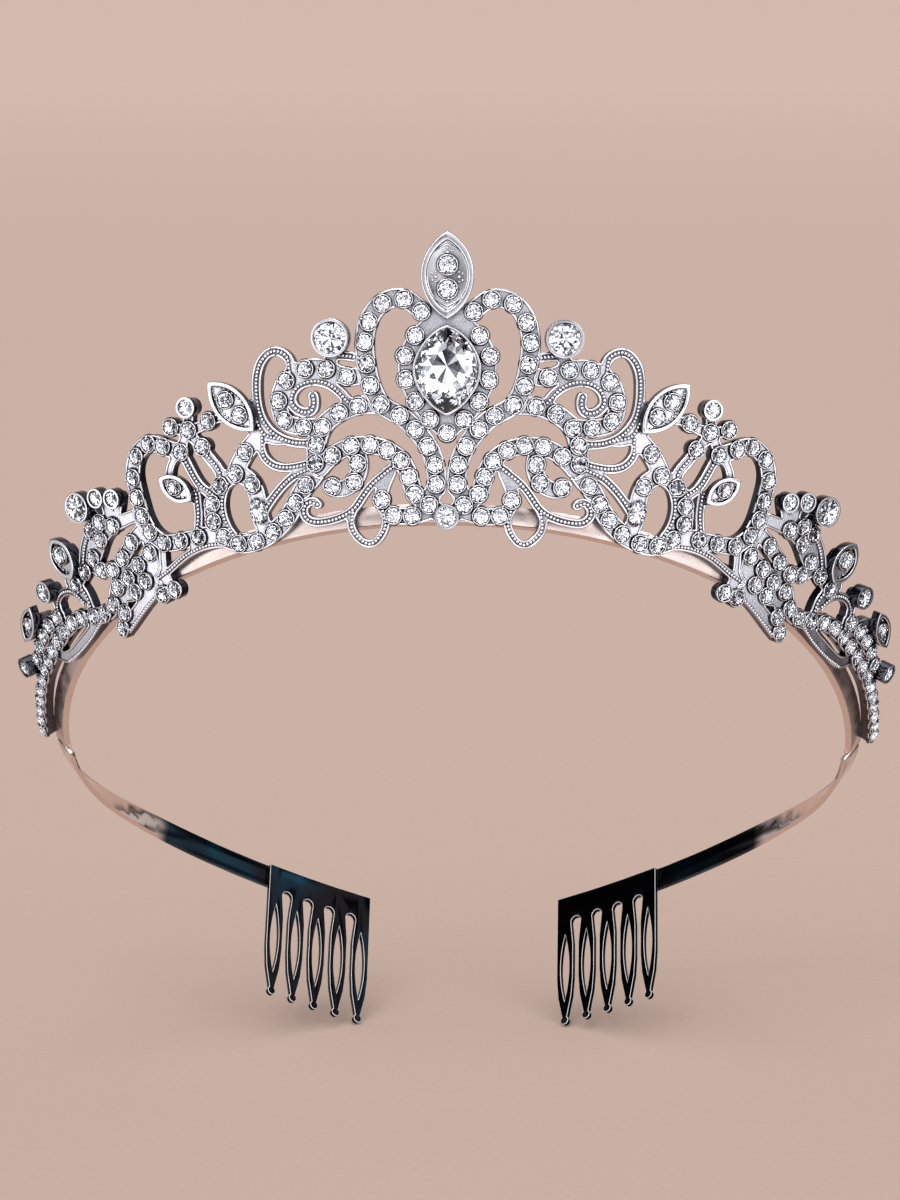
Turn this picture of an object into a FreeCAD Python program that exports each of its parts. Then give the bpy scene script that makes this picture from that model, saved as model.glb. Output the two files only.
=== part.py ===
# Bridal tiara: a sprung steel headband with two side combs, carrying soldered filigree
# castings set with crystals. Lengths are in millimetres.
# The band lies in one plane. The filigree stands on it as a sheet that leans outward, so
# the sheet is part of a cone. A place on the sheet is given as (along, up): along is the
# arc length on the band from the front centre, up is the height on the leaning sheet.
import FreeCAD
import Part
import math
import os

V = FreeCAD.Vector
V2 = FreeCAD.Base.Vector2d
doc = FreeCAD.newDocument("tiara")

BAND_RADIUS = 71.0
EAR_RADIUS = 35.0
TAIL_RADIUS = 170.0
FRONT_TURN = math.radians(91.5)
EAR_TURN = math.radians(38.0)
TAIL_LENGTH = 58.5
STRIP_WIDTH = 4.2
# how far the strip under the filigree reaches below the middle of the tails
STRIP_DROP = 1.0
STRIP_THICK = 0.9
LEAN = math.radians(37.0)
TILT = 45.0
SHEET_BACK = STRIP_THICK / 2
SHEET_THICK = 1.5
SHEET_FRONT = SHEET_BACK + SHEET_THICK
STONE_R = 1.3
KNUCKLE_R = 0.5
KNUCKLE_GAP = 0.3
COMB_WIDTH = 22.5
COMB_LENGTH = 27.5
COMB_THICK = 0.9
TOOTH_COUNT = 5
TOOTH_PITCH = 4.75
TOOTH_WIDTH = 3.5
SPINE_RISE = STRIP_WIDTH / 2

FRONT_END = BAND_RADIUS * FRONT_TURN
EAR_END = FRONT_END + EAR_RADIUS * EAR_TURN
BAND_END = EAR_END + TAIL_LENGTH
APEX = BAND_RADIUS / math.sin(LEAN)
WORN = FreeCAD.Placement(V(0, 0, 0), FreeCAD.Rotation(V(1, 0, 0), -TILT))

sheet = doc.addObject("Spreadsheet::Sheet", "Dims")


def fill_sheet():
    """Driving dimensions of the pieces made from primitives."""
    rows = {
        "strip_low_radius": BAND_RADIUS - STRIP_DROP * math.sin(LEAN),
        "strip_high_radius": BAND_RADIUS + STRIP_WIDTH / 2 * math.sin(LEAN),
        "strip_half_wall": STRIP_THICK / 2 / math.cos(LEAN),
        "strip_rise": (STRIP_WIDTH / 2 + STRIP_DROP) * math.cos(LEAN),
        "strip_sweep": 2 * math.degrees((FRONT_END - KNUCKLE_R - KNUCKLE_GAP) / BAND_RADIUS),
        "base_cup_radius": 2.05,
        "base_cup_bore": 1.62,
        "base_cup_height": 1.3,
        "base_cup_depth": 0.7,
        "oval_cup_radius": 3.2,
        "oval_cup_bore": 2.72,
        "oval_cup_height": 2.0,
        "oval_cup_depth": 1.0,
    }
    for row, (name, value) in enumerate(rows.items(), 1):
        sheet.set("A%d" % row, name)
        sheet.set("B%d" % row, "%.5f" % value)
        sheet.setAlias("B%d" % row, name)
    doc.recompute()


def band_point(along):
    """Point on the band's centre line and its heading; along is positive on the wearer's left."""
    x, y, heading = 0.0, 0.0, 0.0
    left = abs(along)
    arcs = ((BAND_RADIUS, FRONT_END), (EAR_RADIUS, EAR_END - FRONT_END), (TAIL_RADIUS, TAIL_LENGTH))
    for radius, length in arcs:
        run = min(left, length)
        turned = heading + run / radius
        x += radius * (math.sin(turned) - math.sin(heading))
        y -= radius * (math.cos(turned) - math.cos(heading))
        heading = turned
        left -= run
        if left <= 0:
            break
    return V(x, y, 0), heading


def flat(along, up):
    """The place on the sheet when the cone is rolled out flat."""
    turn = along / APEX
    return V((APEX + up) * math.sin(turn), (APEX + up) * math.cos(turn) - APEX, 0)


def unflat(point):
    return APEX * math.atan2(point.x, point.y + APEX), math.hypot(point.x, point.y + APEX) - APEX


def seat(along, up, off, spin=0.0):
    """Placement on the sheet: z out of it, y up it. spin turns the piece in the sheet."""
    turn = along / BAND_RADIUS
    reach = BAND_RADIUS + up * math.sin(LEAN) + off * math.cos(LEAN)
    place = V(reach * math.sin(turn), BAND_RADIUS - reach * math.cos(turn),
              up * math.cos(LEAN) - off * math.sin(LEAN))
    across = V(math.cos(turn), math.sin(turn), 0)
    out = V(math.cos(LEAN) * math.sin(turn), -math.cos(LEAN) * math.cos(turn), -math.sin(LEAN))
    rise = out.cross(across)
    basis = FreeCAD.Rotation(across, rise, out, "ZXY")
    return FreeCAD.Placement(place, basis.multiply(FreeCAD.Rotation(V(0, 0, 1), spin)))


def smooth(points):
    curve = Part.BSplineCurve()
    curve.interpolate(points)
    return curve


def facing_up(face):
    if face.normalAt(0.5, 0.5).z < 0:
        face.reverse()
    return face


def stroke(width, *points):
    """A rounded bar of the filigree in the rolled-out sheet, through the given places."""
    curve = smooth([flat(a, u) for a, u in points])
    count = max(5, int(curve.length() / 1.2))
    ends = (0, count)
    left, right, tips = [], [], []
    for i in range(count + 1):
        where = curve.parameterAtDistance(curve.length() * i / count, curve.FirstParameter)
        point = curve.value(where)
        along = curve.tangent(where)[0]
        side = V(-along.y, along.x, 0) * (width / 2)
        left.append(point + side)
        right.append(point - side)
        if i in ends:
            tips.append(point + along * (width / 2 if i else -width / 2))
    start = Part.Arc(right[0], tips[0], left[0]).toShape()
    finish = Part.Arc(left[-1], tips[1], right[-1]).toShape()
    wire = Part.Wire([smooth(left).toShape(), finish, smooth(right).toShape(), start])
    return facing_up(Part.Face(wire))


def disc(radius, along, up):
    circle = Part.Circle(flat(along, up), V(0, 0, 1), radius)
    return facing_up(Part.Face(Part.Wire([circle.toShape()])))


def mirrored(face):
    return facing_up(face.mirror(V(0, 0, 0), V(1, 0, 0)))


def cone_at(off):
    cone = Part.Cone()
    cone.Radius = BAND_RADIUS + off * math.cos(LEAN)
    cone.SemiAngle = LEAN
    cone.Center = V(0, BAND_RADIUS, -off * math.sin(LEAN))
    return cone


def runs_of(wire, step):
    """Places along each edge of a flat outline, in order round it."""
    runs = []
    for edge in wire.OrderedEdges:
        if edge.Length < 0.06 and len(wire.Edges) > 2:
            continue
        count = max(6, int(edge.Length / step) + 1)
        places = [unflat(p) for p in edge.discretize(count)]
        if edge.Orientation == "Reversed":
            places.reverse()
        runs.append(places)
    for last, following in zip(runs, runs[1:] + runs[:1]):
        following[0] = last[-1]
    if len(runs) == 1:
        middle = len(runs[0]) // 2
        runs = [runs[0][:middle + 1], runs[0][middle:]]
    return runs


def turn_of(runs):
    places = [p for run in runs for p in run[:-1]]
    nexts = places[1:] + places[:1]
    return sum(p[0] * q[1] - q[0] * p[1] for p, q in zip(places, nexts)) / 2


def patch(cone, wires):
    """The stretch of a cone inside the first wire and outside the others."""
    face = Part.Face(cone, wires[0])
    face.validate()
    if len(wires) > 1:
        holes = []
        for wire in wires[1:]:
            hole = Part.Face(cone, wire)
            hole.validate()
            holes.append(hole)
        face = face.cut(holes).Faces[0]
    return face


def wrap_once(face, back, front, step):
    """Bends a flat outline onto the cone and gives it thickness."""
    low, high = cone_at(back), cone_at(front)
    low_wires, high_wires, faces = [], [], []
    outlines = [face.OuterWire] + [w for w in face.Wires if not w.isSame(face.OuterWire)]
    for number, wire in enumerate(outlines):
        runs = runs_of(wire, step)
        if number and abs(turn_of(runs)) < 1.3:
            continue
        if (turn_of(runs) > 0) != (number == 0):
            runs = [run[::-1] for run in runs[::-1]]
        low_edges, high_edges = [], []
        for places in runs:
            line = Part.Geom2d.BSplineCurve2d()
            line.interpolate([V2(1.5 * math.pi + a / BAND_RADIUS, u) for a, u in places])
            low_edges.append(line.toShape(low))
            high_edges.append(line.toShape(high))
            faces.append(Part.makeRuledSurface(low_edges[-1], high_edges[-1]))
        low_wires.append(Part.Wire(low_edges))
        high_wires.append(Part.Wire(high_edges))
    shell = Part.makeCompound([patch(low, low_wires), patch(high, high_wires)] + faces)
    shell.sewShape(1e-4)
    if len(shell.Shells) != 1 or not shell.Shells[0].isClosed():
        return None
    solid = Part.Solid(shell.Shells[0])
    if solid.Volume < 0:
        solid.reverse()
    return solid if solid.isValid() and solid.Volume > 0 else None


def wrap(face, back, front):
    for step in (0.25, 0.18, 0.12, 0.32, 0.4):
        try:
            solid = wrap_once(face, back, front, step)
        except Exception:
            solid = None
        if solid is not None:
            return solid
    raise RuntimeError("an outline would not close on the sheet")


def joined(faces, beside=None):
    """One flat outline from many bars, stopping where the neighbouring casting starts."""
    whole = faces[0].multiFuse(faces[1:]).removeSplitter()
    if beside is not None:
        whole = whole.cut(beside).removeSplitter()
    kept = sorted(whole.Faces, key=lambda f: f.Area)
    print("   outline parts", [round(f.Area, 1) for f in kept])
    return kept[-1]


CENTRE_BARS = (
    (3.2, (1.2, 33.4), (3.3, 34.6), (5.5, 36.6), (8.2, 36.1), (10.1, 33.3), (10.9, 29.8), (10.9, 25.9),
     (10.4, 22.2), (9.0, 19.0), (6.7, 17.2), (4.6, 14.9), (2.8, 12.0), (1.8, 8.9), (1.6, 5.0)),
    (2.0, (0.0, 13.9), (2.5, 16.3), (4.5, 19.5), (5.7, 23.2), (5.6, 27.1), (4.2, 30.4), (1.9, 32.9),
     (0.0, 34.2)),
    (1.8, (0.0, 17.0), (2.3, 19.6), (3.9, 23.2), (3.7, 28.0), (1.8, 30.9), (0.0, 31.8)),
    (3.0, (1.2, 0.8), (2.75, 2.2), (5.0, 4.3), (5.8, 7.1), (6.9, 9.8), (8.9, 11.7), (11.4, 12.7),
     (14.5, 12.8), (17.2, 11.7), (19.4, 9.9)),
    (3.0, (1.6, 5.8), (2.4, 3.6), (2.75, 2.2)),
    (2.9, (13.6, 11.6), (13.4, 9.0), (14.6, 6.9), (16.4, 6.0), (18.2, 6.7)),
    (2.9, (2.4, 1.4), (5.6, 0.5), (8.8, 0.8)),
    (2.3, (8.8, 0.8), (10.4, 3.6), (9.8, 6.0), (8.8, 8.0)),
    (1.5, (7.6, 9.2), (9.5, 7.8), (11.6, 6.2), (13.4, 4.2), (15.0, 2.4), (17.5, 1.3), (20.3, 1.0),
     (22.6, 1.6), (23.3, 3.2), (22.3, 4.6), (20.8, 4.0)),
    (1.3, (10.3, 1.6), (10.2, -1.2), (12.9, -3.7), (15.6, -1.2), (15.2, 1.8)),
    (2.4, (0.0, 31.2), (0.0, 34.0), (0.0, 37.0)),
)
SCROLL_BARS = (
    (3.2, (9.8, 19.2), (12.5, 19.4), (15.4, 18.6), (18.1, 16.6), (19.4, 13.9), (19.9, 11.2), (20.3, 9.3),
     (22.2, 7.5), (24.3, 4.9), (26.4, 2.7), (29.1, 1.0), (32.5, 0.2), (35.0, 0.4)),
    (3.0, (11.5, 24.6), (13.7, 24.4), (16.4, 26.1), (19.3, 26.7), (22.2, 25.3), (23.8, 22.0),
     (23.4, 18.6), (20.6, 17.1), (18.2, 16.7)),
    (2.4, (16.2, 25.8), (15.4, 28.5), (15.05, 31.0)),
    (1.6, (11.0, 27.0), (13.0, 27.7), (15.4, 28.4)),
    (1.7, (14.0, 20.2), (16.0, 23.2), (18.3, 24.4), (20.8, 23.9), (22.0, 21.8), (21.1, 19.9),
     (19.5, 19.5), (18.8, 20.8), (18.8, 22.0)),
    (1.6, (21.5, 26.6), (21.6, 29.3), (23.3, 30.5), (25.4, 28.9), (26.6, 25.3), (26.9, 20.5),
     (25.7, 17.3), (23.2, 15.1), (20.2, 14.3)),
    (1.9, (24.5, 15.8), (26.9, 17.2), (27.7, 20.0), (28.2, 22.6)),
    (1.5, (20.1, 11.1), (23.6, 10.9), (26.5, 11.8), (27.8, 13.8), (27.4, 16.8)),
    (1.6, (20.8, 10.2), (24.0, 9.3), (27.0, 7.3), (29.6, 5.0)),
    (3.2, (27.6, 17.2), (30.4, 15.2), (32.9, 12.3)),
    (3.0, (32.9, 12.0), (30.8, 10.0), (30.4, 7.5), (30.7, 4.5), (30.2, 1.5)),
    (2.6, (28.2, 18.4), (29.5, 21.0), (31.3, 25.2)),
)
FLOWER_BARS = (
    (3.0, (34.0, 0.5), (35.8, 0.8), (37.9, 2.5), (38.9, 5.5), (38.2, 8.4), (36.2, 10.7), (33.6, 12.0)),
    (1.4, (34.6, 10.9), (36.3, 8.6), (36.9, 5.5), (36.2, 2.4)),
    (2.0, (36.2, 10.8), (35.4, 13.2), (36.4, 16.0), (36.9, 18.0)),
    (1.7, (37.6, 10.0), (39.4, 12.5), (40.0, 15.2), (40.6, 18.4)),
    (1.9, (34.8, 21.9), (38.2, 21.6), (40.7, 23.0)),
    (1.9, (37.1, 24.8), (38.2, 21.6), (36.9, 18.2)),
    (1.9, (38.2, 21.6), (39.6, 20.2), (40.6, 18.6)),
    (1.5, (32.4, 21.6), (33.6, 21.9), (34.8, 21.9)),
    (3.0, (40.6, 18.6), (43.1, 20.6), (45.2, 22.0), (48.0, 21.1), (49.9, 18.1), (50.6, 14.6),
     (51.0, 11.5), (50.8, 8.5), (49.0, 5.6), (45.8, 4.6), (42.5, 4.0), (39.4, 3.8)),
    (1.5, (40.8, 18.4), (42.8, 17.3), (44.0, 15.0)),
    (2.0, (41.0, 10.6), (42.2, 12.2), (43.4, 14.4)),
    (1.6, (40.4, 11.0), (41.0, 8.0), (42.7, 4.4)),
    (1.3, (36.4, 0.6), (41.0, 2.1), (46.0, 2.0), (50.0, 1.0), (53.0, 0.6)),
    (1.4, (49.6, 5.4), (50.6, 3.4), (51.4, 1.0)),
    (2.4, (51.6, 0.8), (51.7, -0.8), (51.7, -2.2)),
)
END_BARS = (
    (2.4, (51.6, 12.0), (51.9, 8.2), (52.3, 5.4), (52.9, 2.0)),
    (2.8, (52.8, 9.2), (55.4, 8.2), (59.3, 6.3)),
    (2.6, (53.0, 4.7), (56.0, 4.3), (59.4, 3.6)),
    (2.6, (53.0, 1.9), (56.0, 1.3), (59.0, 0.6), (61.6, 1.8)),
    (2.4, (51.8, 12.0), (54.2, 12.3), (57.2, 12.5)),
    (2.8, (57.0, 12.5), (59.4, 14.3), (61.7, 14.2)),
    (2.8, (57.0, 12.5), (61.4, 11.3), (64.6, 9.5), (67.6, 9.3), (70.4, 8.8), (71.7, 9.8)),
    (2.2, (61.7, 14.2), (64.5, 12.6), (67.4, 9.6)),
    (2.0, (57.0, 12.7), (55.2, 14.6), (54.0, 16.3)),
    (2.0, (57.4, 12.8), (57.0, 15.5), (56.6, 17.6)),
    (2.6, (59.4, 14.4), (60.2, 16.4), (60.9, 18.3)),
    (2.8, (59.4, 3.2), (61.0, 6.0), (63.4, 7.0), (64.6, 9.4)),
    (3.0, (59.2, 3.0), (62.3, 3.4), (64.8, 1.2), (67.2, 0.8), (70.4, 1.9), (73.2, 3.3), (76.5, 4.1),
     (79.8, 4.3), (83.1, 4.3), (86.4, 4.3), (89.7, 4.4), (93.0, 4.5), (96.3, 4.4), (99.6, 4.2),
     (102.9, 4.0), (106.6, 3.8), (110.4, 3.7)),
    (1.6, (70.4, 8.8), (69.8, 5.6), (70.6, 2.6)),
    (1.5, (71.2, 5.2), (72.6, 8.2), (75.4, 9.4), (78.0, 8.4), (79.0, 5.6)),
    (2.8, (78.6, 6.8), (82.5, 7.4), (86.0, 7.5), (89.5, 7.3), (93.0, 6.4), (95.6, 5.0)),
    (2.6, (70.6, 8.8), (69.2, 11.0), (69.0, 14.0)),
    (2.2, (78.0, 8.2), (77.4, 9.6), (77.0, 11.3)),
    (2.2, (82.0, 7.8), (83.2, 9.4), (86.4, 10.2)),
    (2.2, (93.0, 6.4), (94.2, 7.4), (95.2, 7.9)),
    (2.6, (52.2, -0.4), (56.0, -1.1), (61.0, -2.5), (65.8, -3.6)),
    (1.5, (53.0, 1.6), (52.8, 0.4), (53.2, -0.6)),
    (1.9, (61.0, 2.0), (62.4, 0.4), (63.2, -1.4), (62.6, -3.0)),
    (2.2, (69.6, 1.2), (74.0, 0.4), (79.0, 0.4), (83.5, 1.2), (85.6, 3.6)),
)
CENTRE_STONES = ((3.3, 34.35), (5.45, 36.5), (8.2, 36.0), (10.1, 33.1), (10.85, 29.85), (10.85, 26.2),
                 (10.55, 22.6), (9.3, 19.3), (6.75, 17.3), (4.6, 14.9), (2.85, 12.0), (1.75, 8.9),
                 (1.65, 5.7), (2.75, 2.25), (5.0, 4.2), (5.8, 7.1), (6.9, 9.8), (8.9, 11.7),
                 (11.4, 12.75), (14.2, 12.9), (17.2, 11.7), (13.5, 9.9), (14.4, 6.9), (17.9, 6.6),
                 (5.6, 0.5), (8.6, 0.75), (10.3, 3.5))
HALO_STONES = ((2.45, 16.45), (4.45, 19.5), (5.65, 23.2), (5.65, 27.1), (4.2, 30.4))
SCROLL_STONES = ((12.5, 19.4), (15.4, 18.6), (18.1, 16.6), (19.4, 13.9), (20.0, 10.9), (22.1, 7.6),
                 (24.3, 5.0), (26.4, 2.75), (29.1, 1.0), (32.4, 0.2), (13.7, 24.4), (16.4, 26.1),
                 (19.3, 26.65), (22.2, 25.3), (23.8, 22.2), (23.5, 18.9), (20.9, 17.2),
                 (30.5, 15.2), (32.9, 12.1), (30.6, 9.6))
FLOWER_STONES = ((35.6, 0.7), (37.9, 2.6), (38.9, 5.6), (38.1, 8.5), (35.9, 11.0), (34.85, 21.95),
                 (38.2, 21.65), (40.8, 23.1), (36.9, 18.15), (40.6, 18.55), (43.1, 20.6), (45.25, 22.0),
                 (48.0, 21.0), (49.9, 18.0), (50.6, 14.6), (51.0, 11.4), (50.8, 8.3), (49.0, 5.5),
                 (45.8, 4.6), (42.4, 4.0), (50.6, -2.4), (53.3, -2.2))
END_STONES = ((52.5, 5.2), (55.1, 8.3), (58.2, 6.8), (55.7, 4.3), (58.9, 3.3), (55.7, 1.3),
              (58.8, 0.7), (57.2, 12.5), (59.3, 14.3), (61.8, 14.1), (60.7, 11.6), (64.0, 9.9),
              (67.1, 9.0), (70.6, 8.4), (61.2, 6.1), (63.5, 7.2), (62.0, 3.1), (64.7, 1.2), (67.6, 0.9),
              (70.5, 1.9), (73.4, 3.3), (76.6, 4.1), (79.8, 4.3), (83.0, 4.3), (86.2, 4.3), (89.4, 4.4),
              (92.6, 4.5), (95.8, 4.4), (98.8, 4.2), (101.7, 4.05), (104.6, 3.9), (107.5, 3.8), (110.4, 3.7),
              (79.4, 7.1), (82.7, 7.5),
              (85.9, 7.5), (89.1, 7.4), (92.3, 6.9), (63.1, -1.3), (65.3, -3.2))
# along, up, stone radius of each raised cup on the end branch
END_CUPS = ((54.0, 16.3, 1.35), (56.8, 17.9, 1.35), (60.9, 18.4, 2.3), (77.0, 11.4, 1.7), (95.2, 7.9, 1.5))
END_CUP_HEIGHT = 2.1
# along, up, spin in degrees, length, half width
SHOULDER_LEAF = (30.45, 23.1, -31.0, 11.6, 2.9)
ARCH_LEAF = (42.8, 13.0, -40.0, 7.4, 2.1)
END_LEAF = (69.3, 13.3, 0.0, 8.0, 2.8)
TIP_LEAF = (86.4, 10.9, 74.0, 8.6, 2.0)
FINIAL = (0.0, 40.3, 0.0, 14.6, 4.4)


def filigree():
    """Flat outlines of the five kinds of casting, on the wearer's left."""
    bars = [stroke(*bar) for bar in CENTRE_BARS]
    bars += [disc(1.55, a, u) for a, u in HALO_STONES]
    bars += [mirrored(bar) for bar in bars]
    bars += [disc(2.1, 0.0, 0.3), disc(1.6, 0.0, 14.2)]
    centre = joined(bars)
    scroll = joined([stroke(*bar) for bar in SCROLL_BARS] + [disc(2.6, 15.05, 31.1)], centre)
    pads = [disc(1.6, a, u) for a, u in FLOWER_STONES[5:10] + FLOWER_STONES[20:]]
    pads += [disc(1.6, 37.1, 25.2)]
    flower = joined([stroke(*bar) for bar in FLOWER_BARS] + pads, scroll)
    end = joined([stroke(*bar) for bar in END_BARS], flower)
    return centre, scroll, flower, end


def loop(points):
    return points + points[:1]


def prism(low, high, bottom, top):
    """Solid between two outlines of the same number of corners."""
    count = len(low)
    a = [V(x, y, bottom) for x, y in low]
    b = [V(x, y, top) for x, y in high]
    faces = [Part.Face(Part.makePolygon(loop(a))), Part.Face(Part.makePolygon(loop(b)))]
    for i in range(count):
        j = (i + 1) % count
        faces.append(Part.Face(Part.makePolygon([a[i], a[j], b[j], b[i], a[i]])))
    return faces


def gem(outline, girdle, crown, table):
    """A flat-backed faceted stone: girdle wall, sloping crown, flat table."""
    small = [(x * table, y * table) for x, y in outline]
    walls = prism(outline, outline, 0.0, girdle)
    slopes = prism(outline, small, girdle, crown)
    shell = Part.makeShell([walls[0], slopes[1]] + walls[2:] + slopes[2:])
    solid = Part.Solid(shell)
    if solid.Volume < 0:
        solid.reverse()
    return solid


def round_outline(radius, count=8):
    return [(radius * math.cos(2 * math.pi * (i + 0.5) / count),
             radius * math.sin(2 * math.pi * (i + 0.5) / count)) for i in range(count)]


def round_gem(radius, count=8):
    return gem(round_outline(radius, count), 0.2 * radius, 0.62 * radius, 0.56)


def drop_outline(wide, above, below):
    """A drop: pointed below, a blunter point above, widest at the origin."""
    side = [(0.60, 0.67 * above), (0.84, 0.38 * above), (1.0, 0.0), (0.94, -0.32 * below),
            (0.67, -0.64 * below), (0.36, -0.86 * below)]
    right = [(wide * x, y) for x, y in side]
    return [(0.0, above)] + right + [(0.0, -below)] + [(-x, y) for x, y in reversed(right)]


def leaf_wire(length, half, grow=0.0):
    """Two arcs meeting in points, the marquise outline."""
    low, high = V(0, -length / 2 - grow, 0), V(0, length / 2 + grow, 0)
    right = Part.Arc(low, V(half + grow, 0, 0), high).toShape()
    left = Part.Arc(high, V(-half - grow, 0, 0), low).toShape()
    return Part.Wire([right, left])


def leaf_setting(length, half, thick=1.7, rim=0.75, recess=0.7):
    """Marquise plate with a raised rim round a recessed floor."""
    plate = Part.Face(leaf_wire(length, half)).extrude(V(0, 0, thick))
    pocket = Part.Face(leaf_wire(length - 3.2 * rim, half - rim)).extrude(V(0, 0, recess))
    pocket.translate(V(0, 0, thick - recess))
    return plate.cut(pocket)


def drop_setting(wide, above, below, thick, lip, depth):
    """Drop-shaped cup: a wall round a pocket, open behind the stone."""
    def wire(grow):
        places = drop_outline(wide + grow, above + grow, below + grow)
        right = [V(x, y, 0) for x, y in places[:8]]
        left = [V(x, y, 0) for x, y in places[7:] + places[:1]]
        return Part.Wire([smooth(right).toShape(), smooth(left).toShape()])
    outer = Part.Face(wire(lip)).extrude(V(0, 0, thick))
    pocket = Part.Face(wire(0.06)).extrude(V(0, 0, depth))
    pocket.translate(V(0, 0, thick - depth))
    window = Part.Face(wire(-0.9)).extrude(V(0, 0, thick))
    return outer.cut(pocket).cut(window)


def cup(radius, bore, height, depth):
    body = Part.makeCylinder(radius, height)
    hollow = Part.makeCylinder(bore, depth, V(0, 0, height - depth))
    return body.cut(hollow)


def placed(shape, place):
    moved = shape.copy()
    moved.Placement = place
    return moved


def stones(places, side, radius=STONE_R, off=SHEET_FRONT + 0.02):
    solids = [placed(round_gem(radius), seat(side * a, u, off)) for a, u in places]
    return Part.makeCompound(solids)


def on_leaf(leaf, side, rise, off):
    """Placement of a stone on a leaf, rise above the leaf's middle along its length."""
    along, up, spin, length, half = leaf
    turn = seat(side * along, up, off, side * spin)
    return turn.multiply(FreeCAD.Placement(V(0, rise, 0), FreeCAD.Rotation()))


def keep(name, shape):
    piece = doc.addObject("Part::Feature", name)
    piece.Label = name
    piece.Shape = shape
    piece.Placement = WORN.multiply(shape.Placement)
    return piece


def bound(kind, name, **sizes):
    piece = doc.addObject(kind, name)
    for key, expression in sizes.items():
        piece.setExpression(key, expression)
    return piece


def front_band():
    """The flat steel strip under the filigree: part of a thin leaning cone."""
    outer = bound("Part::Cone", "strip_outside",
                  Radius1="Dims.strip_low_radius + Dims.strip_half_wall",
                  Radius2="Dims.strip_high_radius + Dims.strip_half_wall",
                  Height="Dims.strip_rise", Angle="Dims.strip_sweep")
    inner = bound("Part::Cone", "strip_inside",
                  Radius1="Dims.strip_low_radius - Dims.strip_half_wall",
                  Radius2="Dims.strip_high_radius - Dims.strip_half_wall",
                  Height="Dims.strip_rise")
    piece = doc.addObject("Part::Cut", "headband_front")
    piece.Base = outer
    piece.Tool = inner
    piece.Label = "headband_front"
    doc.recompute()
    sweep = float(sheet.get("strip_sweep"))
    turn = FreeCAD.Rotation(V(0, 0, 1), 270.0 - sweep / 2)
    local = FreeCAD.Placement(V(0, BAND_RADIUS, -STRIP_DROP * math.cos(LEAN)), turn)
    piece.Placement = WORN.multiply(local)
    return piece


def round_cup(name, prefix, place):
    """A turned cup with a bore for its stone, sizes from the sheet."""
    body = bound("Part::Cylinder", name + "_body",
                 Radius="Dims.%s_radius" % prefix, Height="Dims.%s_height" % prefix)
    bore = bound("Part::Cylinder", name + "_bore",
                 Radius="Dims.%s_bore" % prefix, Height="Dims.%s_depth" % prefix)
    bore.setExpression(".Placement.Base.z", "Dims.%s_height - Dims.%s_depth" % (prefix, prefix))
    piece = doc.addObject("Part::Cut", name)
    piece.Base = body
    piece.Tool = bore
    piece.Label = name
    piece.Placement = WORN.multiply(place)
    return piece


def lean_at(along):
    """The strip's lean dies away behind the filigree."""
    part = min(1.0, max(0.0, (along - FRONT_END) / 42.0))
    return LEAN * (1 - part * part * (3 - 2 * part))


def strip_section(along, width, thick):
    point, heading = band_point(along)
    out = V(math.sin(heading), -math.cos(heading), 0)
    lean = lean_at(along)
    wide = out * math.sin(lean) + V(0, 0, math.cos(lean))
    deep = out * math.cos(lean) - V(0, 0, math.sin(lean))
    corners = [point + wide * (sw * width / 2) + deep * (st * thick / 2)
               for sw, st in ((1, 1), (1, -1), (-1, -1), (-1, 1))]
    return Part.makePolygon(corners + corners[:1])


def band_tail(side):
    """The bare end of the strip, from its flexing root to the end of the comb."""
    start = FRONT_END + 0.12
    stops = [start + (BAND_END - start) * i / 22 for i in range(23)]
    blade = Part.makeLoft([strip_section(s, STRIP_WIDTH, STRIP_THICK) for s in stops], True, False)
    point, heading = band_point(FRONT_END)
    out = V(math.sin(heading), -math.cos(heading), 0)
    wide = out * math.sin(LEAN) + V(0, 0, math.cos(LEAN))
    knuckle = Part.makeCylinder(KNUCKLE_R, STRIP_WIDTH, point - wide * (STRIP_WIDTH / 2), wide)
    solid = blade.fuse(knuckle)
    return solid if side > 0 else solid.mirror(V(0, 0, 0), V(1, 0, 0))


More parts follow.
